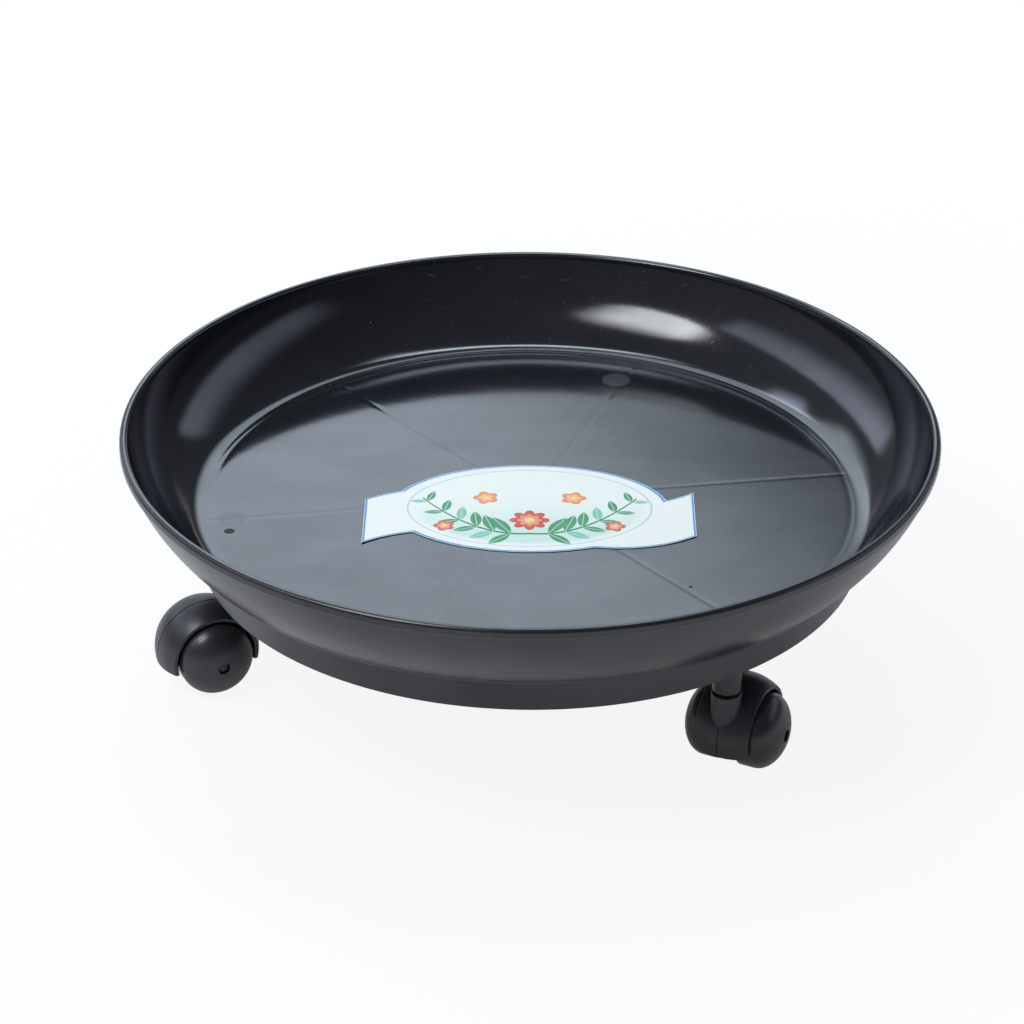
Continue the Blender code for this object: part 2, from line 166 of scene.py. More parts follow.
# Print of the label. A line is given by the depths from the edge at which it starts, is full, fades and ends.
PAPER = ((0.815, 0.84, 0.775), (0.845, 0.868, 0.803))
PAPER_ROUGHNESS = (0.42, 0.56)
PAPER_SPECULAR = 0.3
FIBRE_BUMP = 0.15
FIBRE_DEPTH = 0.0001
EDGE_LINE = (0.0001, 0.0003, 0.0010, 0.0013)
EDGE_INK = (0.10, 0.32, 0.62)
INNER_LINE = (0.0048, 0.0050, 0.0054, 0.0056)
INNER_LINE_INK = (0.25, 0.45, 0.55)
INNER_LINE_SHARE = 0.55
WASH_INK = (0.42, 0.70, 0.60)
WASH_SHARE = 0.60
WASH_EDGE = (0.006, 0.010)
WASH_FADE = (0.012, -0.030)
TWIG_INK = (0.06, 0.22, 0.10)
VEIN_INK = (0.50, 0.74, 0.58)
HEART_INK = (0.86, 0.66, 0.20)
DARK_LEAF = ((0.030, 0.20, 0.085), (0.11, 0.42, 0.20))
PALE_LEAF = ((0.14, 0.47, 0.34), (0.30, 0.62, 0.48))
TWIG_START = 0.004
TWIG_REACH = 0.046
TWIG_DROP = -0.025
TWIG_CLIMB = 0.034
TWIG_SIDE = (0.0009, 0.0005)
TWIG_END_FADE = 0.0002
LEAF_PAIRS = 6
FIRST_LEAF = 0.10
LEAF_STEP = 0.17
LEAF_ANGLE = radians(52)
LEAF_LENGTHS = ((1, 0.0175, 0.0014), (-1, 0.0145, 0.0012))  # side, first length, and how much each next one loses
LEAF_SLIMNESS = 0.36
LEAF_FADE = (-0.0001, 0.0002)
VEIN_SIDE = (0.00042, 0.0002)
VEIN_SHARE = 0.7
PETAL_SHARE = 0.32
BODY_SHARE = 0.68
FLOWER_RINGS = (1.0, 0.62, 0.30)
FLOWER_FADE = (-0.0001, 0.0003)
FLOWERS = (  # middle, radius, half the number of petals, outer and inner ink
    ((0.0, -0.012), 0.0095, 4.0, (0.62, 0.10, 0.06), (0.80, 0.30, 0.20)),
    ((0.0205, 0.0095), 0.0062, 2.5, (0.80, 0.30, 0.12), (0.88, 0.50, 0.26)),
    ((0.0395, -0.0175), 0.0052, 2.5, (0.66, 0.13, 0.09), (0.82, 0.38, 0.28)),
)

# Plastic, and what lies on it: a share of colour, and how much roughness it adds
PLASTIC_IOR = 1.58
PLASTIC_SPECULAR = (0.43, 0.56)
GRAIN_DEPTH = 0.0002
WAVE_DEPTH = 0.0004
SCUFF_GREY = (0.10, 0.105, 0.11)
SCUFF_ROUGHNESS = 0.10
DUST_GREY = (0.34, 0.34, 0.33)
DUST_SHARE = 0.75
DUST_ROUGHNESS = 0.30
DUST_RISE = 0.8
HAZE_RADIUS = 1.12 * BOSS_RADIUS
HAZE_ROUGHNESS = 0.14
RUB_OUTSIDE = 0.052
RUB_INSIDE = 0.016
RUB_SHARE = 0.07
RUB_ROUGHNESS = 0.11
SPOT_BLACK = (0.004, 0.004, 0.004)
SPOT_ROUGHNESS = 0.6

# Turned lines of the steel
TURNING_BUMP = 0.12
TURNING_DEPTH = 0.0001

# Studio. A glow is given by two distances from the middle of its floor and by its share at each.
PANEL_DISTANCE = 1.6
OVAL_FADE = (0.52, 0.42)
COOL = (0.75, 0.87, 1.0)
WHITE = (0.93, 0.97, 1.0)
VIOLET = (0.72, 0.79, 1.0)
ROOM_RIGHT = (0.05, 0.054, 0.06)
ROOM_LEFT = (0.26, 0.28, 0.31)
BACKDROP_BEHIND = (0.86, 0.96)
BACKDROP_LOW = (0.30, 0.15)
STUDIO_FLOOR_COLOUR = (0.86, 0.87, 0.88, 1.0)
STUDIO_FLOOR_HALF = 6.0
GLOW_TO_EYE = (0.2, 0.8, 0.90, 1.0)
GLOW_TO_GLOSS = (0.12, 0.8, 0.30, 1.0)


# Shapes

def arc(start, end, bulge, count):
    """Points after start, up to end, on a circular arc that bulges to the right of travel by bulge."""
    start, end = Vector(start), Vector(end)
    along = (end - start).normalized()
    side = Vector((along.y, -along.x)) * (1.0 if bulge > 0 else -1.0)
    half = (end - start).length / 2
    radius = (half ** 2 + bulge ** 2) / (2 * abs(bulge))
    centre = (start + end) / 2 - side * (radius - abs(bulge))
    sweep = asin(min(1.0, half / radius))
    angles = [sweep * (2 * step / count - 1) for step in range(1, count + 1)]
    return [tuple(centre + side * radius * cos(a) + along * radius * sin(a)) for a in angles]


def softened(points, radius, closed=False, steps=4, least=radians(25)):
    """Round the corners of a profile that turn by more than a least angle."""
    count = len(points)
    result = []
    for index, point in enumerate(points):
        here = Vector(point)
        if not closed and index in (0, count - 1):
            result.append(tuple(here))
            continue
        back = Vector(points[index - 1]) - here
        ahead = Vector(points[(index + 1) % count]) - here
        turn = pi - back.angle(ahead, pi)
        if turn < least:
            result.append(tuple(here))
            continue
        reach = min(radius * tan(turn / 2), 0.45 * back.length, 0.45 * ahead.length)
        first, last = here + back.normalized() * reach, here + ahead.normalized() * reach
        for step in range(steps + 1):
            u = step / steps
            result.append(tuple((1 - u) ** 2 * first + 2 * u * (1 - u) * here + u ** 2 * last))
    return result


def even_angles(count):
    """Angles of equal steps around a circle."""
    return [tau * step / count for step in range(count)]


def lathe(name, profile, angles, closed=False, height=None):
    """Turn a profile of (radius, height) points about Z; height(x, y, z) may move points up or down."""
    verts, rings = [], []
    for radius, z in profile:
        first = len(verts)
        if radius < 1e-7:
            verts.append((0.0, 0.0, z))
            rings.append([first] * len(angles))
        else:
            verts += [(radius * cos(a), radius * sin(a), z) for a in angles]
            rings.append(list(range(first, first + len(angles))))
    if height:
        verts = [(x, y, height(x, y, z)) for x, y, z in verts]
    faces = []
    pairs = list(zip(rings, rings[1:])) + ([(rings[-1], rings[0])] if closed else [])
    for inner, outer in pairs:
        for step in range(len(angles)):
            after = (step + 1) % len(angles)
            corners = (inner[step], outer[step], outer[after], inner[after])
            faces.append(tuple(dict.fromkeys(corners)))
    mesh = bpy.data.meshes.new(name)
    mesh.from_pydata(verts, [], faces)
    return mesh


def smooth(mesh, angle=radians(32)):
    """Point the faces outwards and shade them smooth, apart from sharp corners."""
    shell = bmesh.new()
    shell.from_mesh(mesh)
    bmesh.ops.recalc_face_normals(shell, faces=shell.faces)
    shell.to_mesh(mesh)
    shell.free()
    mesh.shade_smooth()
    mesh.set_sharp_from_angle(angle=angle)
    return mesh


def add(name, mesh, finish=None):
    """Put a mesh in the scene as an object."""
    obj = bpy.data.objects.new(name, mesh)
    SCENE.collection.objects.link(obj)
    if finish:
        mesh.materials.clear()
        mesh.materials.append(finish)
    return obj


def box_mesh(name, low, high, bevel=0.0):
    """A box between two corners, with its edges rounded."""
    mesh = bpy.data.meshes.new(name)
    shell = bmesh.new()
    bmesh.ops.create_cube(shell, size=1.0)
    low, high = Vector(low), Vector(high)
    bmesh.ops.scale(shell, vec=high - low, verts=shell.verts)
    bmesh.ops.translate(shell, vec=(low + high) / 2, verts=shell.verts)
    if bevel:
        bmesh.ops.bevel(shell, geom=shell.edges, offset=bevel, segments=3, profile=0.5, affect="EDGES")
    shell.to_mesh(mesh)
    shell.free()
    return mesh


def carved(name, base, steps):
    """Join tools to a mesh and cut tools out of it, in order, with exact Booleans."""
    shape = add(name, base)
    tools = []
    for operation, tool in steps:
        other = add(f"{name}_tool", tool)
        tools.append(other)
        boolean = shape.modifiers.new(operation, "BOOLEAN")
        boolean.operation = operation
        boolean.solver = "EXACT"
        boolean.object = other
    bpy.context.view_layer.update()
    graph = bpy.context.evaluated_depsgraph_get()
    mesh = bpy.data.meshes.new_from_object(shape.evaluated_get(graph))
    mesh.name = name
    for obj in [shape] + tools:
        bpy.data.objects.remove(obj)
    return mesh


def moved(mesh, matrix):
    """The mesh itself, after a transform."""
    mesh.transform(matrix)
    return mesh


def on_axle(mesh):
    """Lay a mesh that was turned about Z along the axle of a caster."""
    lay = Matrix.Translation((TRAIL, 0.0, AXLE_HEIGHT)) @ Matrix.Rotation(-pi / 2, 4, "X")
    return moved(mesh, lay)


def pin(radius, top, bottom):
    """Profile of a plain round pin."""
    return [(0.0, top), (radius, top), (radius, bottom), (0.0, bottom)]


# Nodes of materials

def shader_tree(name):
    """A new node material and its tree and Principled shader."""
    material = bpy.data.materials.new(name)
    material.use_nodes = True
    return material, material.node_tree, material.node_tree.nodes["Principled BSDF"]


def fill(tree, socket, value):
    """Link a socket to an input, or set the input's value."""
    if isinstance(value, bpy.types.NodeSocket):
        tree.links.new(value, socket)
    elif hasattr(value, "__len__") and len(value) == 3 and socket.type == "RGBA":
        socket.default_value = (*value, 1.0)
    else:
        socket.default_value = value


def node(tree, kind, inputs=None, **settings):
    """Add a node, set its options, and fill its inputs by name or number."""
    made = tree.nodes.new(f"ShaderNode{kind}")
    for key, value in settings.items():
        setattr(made, key, value)
    for key, value in (inputs or {}).items():
        fill(tree, made.inputs[key], value)
    return made


def calc(tree, operation, *values):
    """The result of a Math node."""
    return node(tree, "Math", dict(enumerate(values)), operation=operation).outputs[0]


def blend_colour(tree, share, first, second):
    """Mix two colours by a share."""
    mix = node(tree, "Mix", data_type="RGBA")
    fill(tree, mix.inputs["Factor"], share)
    fill(tree, mix.inputs[6], first)
    fill(tree, mix.inputs[7], second)
    return mix.outputs[2]


def ramp(tree, value, low, high, to_low=0.0, to_high=1.0):
    """Map a value from one range to another, with soft ends."""
    inputs = {"Value": value, "From Min": low, "From Max": high, "To Min": to_low, "To Max": to_high}
    made = node(tree, "MapRange", interpolation_type="SMOOTHSTEP", clamp=True)
    for key, entry in inputs.items():
        fill(tree, made.inputs[key], entry)
    return made.outputs[0]


def stripe(tree, value, start, full, fade, end):
    """A mask of the values between start and end, with soft ends."""
    return calc(tree, "MULTIPLY", ramp(tree, value, start, full), ramp(tree, value, end, fade))


def object_point(tree):
    """Coordinates in metres that stay with the piece."""
    return node(tree, "TexCoord").outputs["Object"]


def noise(tree, point, scale, detail=2.0, rough=0.5, stretch=None):
    """A noise of a given number of features per metre, stretched along axes if asked."""
    if stretch:
        point = node(tree, "Mapping", {"Vector": point, "Scale": stretch}).outputs[0]
    inputs = {"Vector": point, "Scale": scale, "Detail": detail, "Roughness": rough}
    return node(tree, "TexNoise", inputs).outputs["Fac"]


def specks(tree, point, scale, size, share):
    """A mask of scattered specks: cells per metre, speck size within a cell, share of cells with one."""
    cells = node(tree, "TexVoronoi", {"Vector": point, "Scale": scale}, feature="F1")
    near = ramp(tree, cells.outputs["Distance"], size, size * 0.5)
    lucky = calc(tree, "LESS_THAN", node(tree, "SeparateColor", {0: cells.outputs["Color"]}).outputs[0], share)
    return calc(tree, "MULTIPLY", near, lucky)


def distance_to(tree, point, middle):
    """How far the surface is from a place."""
    return node(tree, "VectorMath", {0: point, 1: middle}, operation="DISTANCE").outputs["Value"]


def plastic(name, dark, light, rough, grain, grain_size, scuff, dust, wave=0.0, haze=(), outside=0.0,
            brushed=None, spots=()):
    """Black moulded plastic: mottled colour, uneven gloss, fine grain, scuffs and specks of dust.

    wave is how far slow waves turn its reflections, haze the middles of duller discs, outside how much duller it
    is where it faces outwards, brushed the middle and direction of a rubbed place, and spots the middles and radii
    of dark, duller spots, painted shade where a small pit would be.
    """
    material, tree, shader = shader_tree(name)
    point = object_point(tree)
    mottle = noise(tree, point, scale=38.0, detail=4.0, rough=0.6)
    smear = noise(tree, point, scale=9.0, detail=3.0, rough=0.55)
    smudge = noise(tree, point, scale=22.0, detail=3.0, rough=0.6, stretch=(1.0, 1.6, 1.0))
    scratch_one = noise(tree, point, scale=60.0, detail=2.0, rough=0.5, stretch=(1.0, 14.0, 3.0))
    scratch_two = noise(tree, point, scale=55.0, detail=2.0, rough=0.5, stretch=(12.0, 1.4, 3.0))
    scratch = calc(tree, "MAXIMUM", ramp(tree, scratch_one, 0.66, 0.78), ramp(tree, scratch_two, 0.68, 0.80))
    scuffed = calc(tree, "MULTIPLY", scratch, ramp(tree, smear, 0.48, 0.70))
    motes = calc(tree, "MAXIMUM", specks(tree, point, 70.0, 0.035, dust), specks(tree, point, 160.0, 0.05, dust))
    colour = blend_colour(tree, mottle, dark, light)
    colour = blend_colour(tree, calc(tree, "MULTIPLY", scuffed, scuff), colour, SCUFF_GREY)
    colour = blend_colour(tree, calc(tree, "MULTIPLY", motes, DUST_SHARE), colour, DUST_GREY)
    gloss = ramp(tree, smear, 0.25, 0.75, rough * 0.86, rough * 1.16)
    gloss = calc(tree, "ADD", gloss, calc(tree, "MULTIPLY", scuffed, SCUFF_ROUGHNESS))
    gloss = calc(tree, "ADD", gloss, calc(tree, "MULTIPLY", motes, DUST_ROUGHNESS))
    for middle in haze:
        away = distance_to(tree, point, middle)
        gloss = calc(tree, "ADD", gloss, ramp(tree, away, HAZE_RADIUS, BOSS_RADIUS, 0.0, HAZE_ROUGHNESS))
    if outside:
        out = node(tree, "VectorMath", {0: point, 1: (1.0, 1.0, 0.0)}, operation="MULTIPLY").outputs[0]
        out = node(tree, "VectorMath", {0: out}, operation="NORMALIZE").outputs[0]
        normal = node(tree, "NewGeometry").outputs["Normal"]
        facing = node(tree, "VectorMath", {0: normal, 1: out}, operation="DOT_PRODUCT").outputs["Value"]
        gloss = calc(tree, "ADD", gloss, ramp(tree, facing, 0.1, 0.6, 0.0, outside))
    if brushed:
        middle, angle = brushed
        turned = node(tree, "Mapping", {"Vector": point, "Rotation": (0.0, 0.0, -angle)}).outputs[0]
        streaks = noise(tree, turned, scale=60.0, detail=4.0, rough=0.65, stretch=(0.35, 5.0, 1.0))
        streaks = ramp(tree, streaks, 0.44, 0.66)
        away = distance_to(tree, point, middle)
        rubbed = calc(tree, "MULTIPLY", streaks, ramp(tree, away, RUB_OUTSIDE, RUB_INSIDE))
        gloss = calc(tree, "ADD", gloss, calc(tree, "MULTIPLY", rubbed, RUB_ROUGHNESS))
        colour = blend_colour(tree, calc(tree, "MULTIPLY", rubbed, RUB_SHARE), colour, SCUFF_GREY)
    # Dark, duller spots: painted shade of a small pit, drawn as darker colour and more roughness
    for middle, radius in spots:
        away = distance_to(tree, point, middle)
        dark_spot = ramp(tree, away, radius, 0.6 * radius)
        colour = blend_colour(tree, dark_spot, colour, SPOT_BLACK)
        gloss = calc(tree, "ADD", gloss, calc(tree, "MULTIPLY", dark_spot, SPOT_ROUGHNESS))
    fine = noise(tree, point, scale=grain_size, detail=2.0)
    height = calc(tree, "ADD", fine, calc(tree, "MULTIPLY", motes, DUST_RISE))
    bump = node(tree, "Bump", {"Strength": grain, "Distance": GRAIN_DEPTH, "Height": height})
    if wave:
        broad = noise(tree, point, scale=26.0, detail=3.0, rough=0.55)
        narrow = noise(tree, point, scale=40.0, detail=2.0, rough=0.5, stretch=(0.6, 3.0, 1.0))
        swell = calc(tree, "ADD", broad, calc(tree, "MULTIPLY", narrow, 0.35))
        slow = node(tree, "Bump", {"Strength": wave, "Distance": WAVE_DEPTH, "Height": swell})
        fill(tree, bump.inputs["Normal"], slow.outputs[0])
    fill(tree, shader.inputs["Base Color"], colour)
    fill(tree, shader.inputs["Roughness"], gloss)
    fill(tree, shader.inputs["Specular IOR Level"], ramp(tree, smudge, 0.25, 0.75, *PLASTIC_SPECULAR))
    fill(tree, shader.inputs["Normal"], bump.outputs[0])
    shader.inputs["IOR"].default_value = PLASTIC_IOR
    return material


def steel(name, colour, rough):
    """Drawn steel: fine turned lines around the pin, with uneven gloss."""
    material, tree, shader = shader_tree(name)
    point = object_point(tree)
    lines = noise(tree, point, scale=900.0, detail=2.0, rough=0.5, stretch=(0.15, 0.15, 3.0))
    cloud = noise(tree, point, scale=120.0, detail=3.0)
    shade = blend_colour(tree, cloud, tuple(0.8 * c for c in colour), colour)
    bump = node(tree, "Bump", {"Strength": TURNING_BUMP, "Distance": TURNING_DEPTH, "Height": lines})
    fill(tree, shader.inputs["Base Color"], shade)
    fill(tree, shader.inputs["Roughness"], ramp(tree, lines, 0.3, 0.7, rough * 0.8, rough * 1.2))
    fill(tree, shader.inputs["Normal"], bump.outputs[0])
    shader.inputs["Metallic"].default_value = 1.0
    return material


def printed_paper(name):
    """Coated white paper, printed with a fine edge line, two leafy sprigs and a few plain flowers."""
    material, tree, shader = shader_tree(name)
    point = object_point(tree)
    split = node(tree, "SeparateXYZ", {0: point})
    x = split.outputs[0]
    y = calc(tree, "SUBTRACT", split.outputs[1], LABEL_SHIFT)
    out = calc(tree, "ABSOLUTE", x)
    mottle = noise(tree, point, scale=60.0, detail=2.0)
    fibre = noise(tree, point, scale=900.0, detail=3.0)

    def turned(middle, angle):
        """Coordinates along and across a line through a point of the right half, mirrored on the left."""
        side = calc(tree, "SUBTRACT", out, middle[0])
        rise = calc(tree, "SUBTRACT", y, middle[1])
        cosine, sine = cos(angle), sin(angle)
        along = calc(tree, "ADD", calc(tree, "MULTIPLY", side, cosine), calc(tree, "MULTIPLY", rise, sine))
        across = calc(tree, "SUBTRACT", calc(tree, "MULTIPLY", rise, cosine), calc(tree, "MULTIPLY", side, sine))
        return along, calc(tree, "ABSOLUTE", across)

    def leaf(colour, middle, angle, length, width, dark, light):
        """Print a pointed leaf with a pale vein."""
        along, across = turned(middle, angle)
        share = calc(tree, "POWER", calc(tree, "DIVIDE", along, length / 2), 2.0)
        edge = calc(tree, "MULTIPLY", calc(tree, "SUBTRACT", 1.0, share), width / 2)
        body = ramp(tree, calc(tree, "SUBTRACT", edge, across), *LEAF_FADE)
        vein = calc(tree, "MULTIPLY", body, ramp(tree, across, *VEIN_SIDE))
        colour = blend_colour(tree, body, colour, blend_colour(tree, mottle, dark, light))
        return blend_colour(tree, calc(tree, "MULTIPLY", vein, VEIN_SHARE), colour, VEIN_INK)

    def flower(colour, middle, radius, petals, outer, inner):
        """Print a round flower with petals, a paler ring and a yellow heart."""
        side, rise = calc(tree, "SUBTRACT", out, middle[0]), calc(tree, "SUBTRACT", y, middle[1])
        reach = calc(tree, "SQRT", calc(tree, "ADD", calc(tree, "POWER", side, 2.0), calc(tree, "POWER", rise, 2.0)))
        wave = calc(tree, "COSINE", calc(tree, "MULTIPLY", calc(tree, "ARCTAN2", rise, side), petals))
        edge = calc(tree, "MULTIPLY_ADD", calc(tree, "ABSOLUTE", wave), radius * PETAL_SHARE, radius * BODY_SHARE)
        for share, ink in zip(FLOWER_RINGS, (outer, inner, HEART_INK)):
            mask = ramp(tree, calc(tree, "SUBTRACT", calc(tree, "MULTIPLY", edge, share), reach), *FLOWER_FADE)
            colour = blend_colour(tree, mask, colour, ink)
        return colour

    long_part = calc(tree, "POWER", calc(tree, "DIVIDE", x, LABEL_LENGTH / 2), 2.0)
    wide_part = calc(tree, "POWER", calc(tree, "DIVIDE", y, LABEL_WIDTH / 2), 2.0)
    oval = calc(tree, "SQRT", calc(tree, "ADD", long_part, wide_part))
    oval_depth = calc(tree, "MULTIPLY", calc(tree, "SUBTRACT", 1.0, oval), LABEL_WIDTH / 2)
    share = calc(tree, "DIVIDE", x, RIBBON_DIP_PLACE)
    cubic = calc(tree, "SUBTRACT", calc(tree, "POWER", share, 3.0), calc(tree, "MULTIPLY", share, 3.0))
    middle = calc(tree, "MULTIPLY_ADD", cubic, RIBBON_DIP / 2, -RIBBON_DROP)
    ribbon_depth = calc(tree, "SUBTRACT", RIBBON_WIDTH / 2, calc(tree, "ABSOLUTE", calc(tree, "SUBTRACT", y, middle)))
    ribbon_depth = calc(tree, "MINIMUM", ribbon_depth, calc(tree, "SUBTRACT", RIBBON_LENGTH / 2, out))
    depth = calc(tree, "MAXIMUM", oval_depth, ribbon_depth)
    edge_line = stripe(tree, depth, *EDGE_LINE)
    inner_line = stripe(tree, oval_depth, *INNER_LINE)

    colour = blend_colour(tree, fibre, *PAPER)
    wash = calc(tree, "MULTIPLY", ramp(tree, oval_depth, *WASH_EDGE), ramp(tree, y, *WASH_FADE))
    colour = blend_colour(tree, calc(tree, "MULTIPLY", wash, WASH_SHARE), colour, WASH_INK)
    colour = blend_colour(tree, calc(tree, "MULTIPLY", inner_line, INNER_LINE_SHARE), colour, INNER_LINE_INK)
    colour = blend_colour(tree, edge_line, colour, EDGE_INK)
    along = calc(tree, "DIVIDE", calc(tree, "SUBTRACT", out, TWIG_START), TWIG_REACH)
    twig = calc(tree, "MULTIPLY_ADD", calc(tree, "POWER", along, 2.0), TWIG_CLIMB, TWIG_DROP)
    line = ramp(tree, calc(tree, "ABSOLUTE", calc(tree, "SUBTRACT", y, twig)), *TWIG_SIDE)
    tip = TWIG_START + TWIG_REACH
    line = calc(tree, "MULTIPLY", line, ramp(tree, out, tip + TWIG_END_FADE, tip))
    colour = blend_colour(tree, line, colour, TWIG_INK)
    for number in range(LEAF_PAIRS):
        t = FIRST_LEAF + LEAF_STEP * number
        root = Vector((TWIG_START + TWIG_REACH * t, TWIG_DROP + TWIG_CLIMB * t * t))
        heading = atan2(2 * TWIG_CLIMB * t, TWIG_REACH)
        for side, longest, loss in LEAF_LENGTHS:
            length = longest - loss * number
            angle = heading + side * LEAF_ANGLE
            centre = root + Vector((cos(angle), sin(angle))) * length / 2
            inks = DARK_LEAF if (number + side) % 4 else PALE_LEAF
            colour = leaf(colour, centre, angle, length, LEAF_SLIMNESS * length, *inks)
    for design in FLOWERS:
        colour = flower(colour, *design)
    bump = node(tree, "Bump", {"Strength": FIBRE_BUMP, "Distance": FIBRE_DEPTH, "Height": fibre})
    fill(tree, shader.inputs["Base Color"], colour)
    fill(tree, shader.inputs["Roughness"], ramp(tree, mottle, 0.3, 0.7, *PAPER_ROUGHNESS))
    fill(tree, shader.inputs["Normal"], bump.outputs[0])
    shader.inputs["Specular IOR Level"].default_value = PAPER_SPECULAR
    return material


# Pieces

def rib_angle(index):
    """Direction of one of the tray's radial ribs."""
    return FIRST_RIB_ANGLE + index * tau / RIB_COUNT


def stem_place(index):
    """Where a caster's stem stands on the ground plan."""
    return Vector((STEM_CIRCLE * cos(rib_angle(index)), STEM_CIRCLE * sin(rib_angle(index)), 0.0))


def step_up(value, low, high):
    """A soft step from 0 to 1."""
    u = min(1.0, max(0.0, (value - low) / (high - low)))
    return u * u * (3 - 2 * u)


def bell(offset, width):
    """A soft bump of height 1."""
    return exp(-(offset / width) ** 2)


def floor_height(x, y, z):
    """The dish floor with its sink marks and slight waves; other heights stay."""
    radius = hypot(x, y)
    if abs(z - FLOOR_TOP) > 1e-6 or radius > FLOOR_RADIUS + 1e-6:
        return z
    depth = RIB_SINK * bell(radius - HUB_RADIUS + HUB_WALL / 2, RIB_SINK_WIDTH)
    for index in range(RIB_COUNT):
        a = rib_angle(index)
        along, side = x * cos(a) + y * sin(a), y * cos(a) - x * sin(a)
        held = step_up(along, HUB_RADIUS * 0.8, HUB_RADIUS * 1.2)
        depth += held * RIB_SINK * bell(side, RIB_SINK_WIDTH)
    across = 2 * ((atan2(y, x) - FIRST_RIB_ANGLE) * RIB_COUNT / tau % 1.0) - 1
    depth += PANEL_SAG * (1 - across ** 2) * step_up(radius, HUB_RADIUS, 0.7 * FLOOR_RADIUS)
    depth += EDGE_SINK * bell(radius - EDGE_SINK_RADIUS, RIB_SINK_WIDTH)
    depth *= 1 - step_up(radius, FLOOR_RADIUS - EDGE_FADE, FLOOR_RADIUS)
    wave = sin(31 * x + 1.3) * cos(24 * y - 0.4) + 0.6 * sin(17 * y + 40 * x)
    calm = 1 - step_up(radius, 0.8 * FLOOR_RADIUS, FLOOR_RADIUS)
    return z - depth - FLOOR_WAVE * calm * (0.5 + 0.3 * wave)


def tray_angles():
    """Directions around the tray, closer together at the ribs. The offsets from a rib are in degrees."""
    offsets = [0.22, 0.45, 0.7, 1.0, 1.35, 1.75, 2.25, 2.9, 3.7, 4.6, 5.7, 7.0, 8.4]
    offsets += [9.8 + 1.4 * step for step in range(15)]
    spread = [-o for o in reversed(offsets)] + [0.0] + offsets
    return [rib_angle(index) + radians(o) for index in range(RIB_COUNT) for o in spread]


def floor_rings():
    """Radii of the floor's rings, written in mm, closer together at the hub and the cove."""
    rings = [0, 6, 12, 16, 17.5, 18.2, 18.75, 19.3, 20, 21.5, 24, 28, 34, 42, 50, 58, 66, 74, 82, 90, 98]
    rings += [106, 113, 119, 124, 128, 132, 136, 139.5, 142.5, 145, 147, 148.2, 149, 149.6, 150.3, 151, 151.6, 152.1]
    return [r / 1000 for r in rings]


def tray_profile():
    """Section of the dish and skirt: out along the floor, over the rim, and back under the floor."""
    cove_rise = COVE_RADIUS - sqrt(COVE_RADIUS ** 2 - COVE_WIDTH ** 2)
    cove_half = hypot(COVE_WIDTH, cove_rise) / 2
    cove_bulge = COVE_RADIUS - sqrt(COVE_RADIUS ** 2 - cove_half ** 2)
    floor_edge = (FLOOR_RADIUS, FLOOR_TOP)
    cove_top = (COVE_TOP_RADIUS, FLOOR_TOP + cove_rise)
    bead_radius = BEAD_WIDTH / 2
    bead_inside = (WALL_TOP_RADIUS, RIM_TOP - bead_radius)
    bead_outside = (RIM_RADIUS, RIM_TOP - bead_radius)
    band_foot = RIM_TOP - bead_radius - BEAD_BAND
    wall_top = (RIM_RADIUS - BEAD_STEP, band_foot - BEAD_STEP / 2)
    wall_foot = (HEEL_RADIUS - WALL_FOOT_INSET, FLOOR_UNDER + HEEL_DROP)
    heel_foot = (wall_foot[0] - HEEL_RETURN, FLOOR_UNDER)
    dish = [(r, FLOOR_TOP) for r in floor_rings()] + [floor_edge]
    dish += arc(floor_edge, cove_top, cove_bulge, count=12) + arc(cove_top, bead_inside, INNER_BULGE, count=32)
    dish += arc(bead_inside, bead_outside, -bead_radius, count=20)
    outside = [bead_outside, (RIM_RADIUS, band_foot), wall_top]
    outside += arc(wall_top, wall_foot, -OUTER_BULGE, count=28)
    outside += arc(wall_foot, heel_foot, -HEEL_BULGE, count=6)
    outside += [(SKIRT_RADIUS, FLOOR_UNDER), (SKIRT_FOOT_RADIUS, SKIRT_BOTTOM), (SKIRT_INSIDE, SKIRT_BOTTOM)]
    outside += [(SKIRT_INSIDE, FLOOR_UNDER), (0.0, FLOOR_UNDER)]
    return dish + softened(outside, OUTSIDE_ROUND)[1:]


def make_tray(finish):
    """The dish, and the ribs, hub and bosses under it."""
    mesh = lathe("tray_dish", tray_profile(), tray_angles(), height=floor_height)
    dish = add("tray_dish", smooth(mesh), finish)
    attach(dish, "tray")
    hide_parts("tray")

    root = FLOOR_UNDER + ROOT_OVERLAP
    hub_inside = HUB_RADIUS - HUB_WALL
    foot = FLOOR_UNDER - HUB_DEPTH
    hub = [(hub_inside, root), (HUB_RADIUS, root), (HUB_RADIUS, foot), (hub_inside, foot)]
    hub = softened(hub, UNDERSIDE_ROUND, closed=True)
    steps = []
    for index in range(RIB_COUNT):
        low = (hub_inside + HUB_WALL / 2, -RIB_THICKNESS / 2, FLOOR_UNDER - RIB_DEPTH)
        high = (SKIRT_INSIDE + RIB_OVERLAP, RIB_THICKNESS / 2, root)
        rib = moved(box_mesh("rib", low, high, RIB_ROUND), Matrix.Rotation(rib_angle(index), 4, "Z"))
        steps.append(("UNION", rib))
    for index, _ in CASTERS.values():
        post = softened(pin(BOSS_RADIUS, root, BOSS_BOTTOM), UNDERSIDE_ROUND)
        place = Matrix.Translation(stem_place(index))
        steps.append(("UNION", moved(lathe("boss", post, even_angles(48)), place)))
    for index, _ in CASTERS.values():
        bore = pin(STEM_BORE, STEM_TOP + FIT_GAP, BOSS_BOTTOM - CUT_MARGIN)
        place = Matrix.Translation(stem_place(index))
        steps.append(("DIFFERENCE", moved(lathe("bore", bore, even_angles(32)), place)))
    under = carved("tray_underside", smooth(lathe("hub", hub, even_angles(72), closed=True)), steps)
    underside = add("tray_underside", smooth(under), finish)
    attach(underside, "tray")


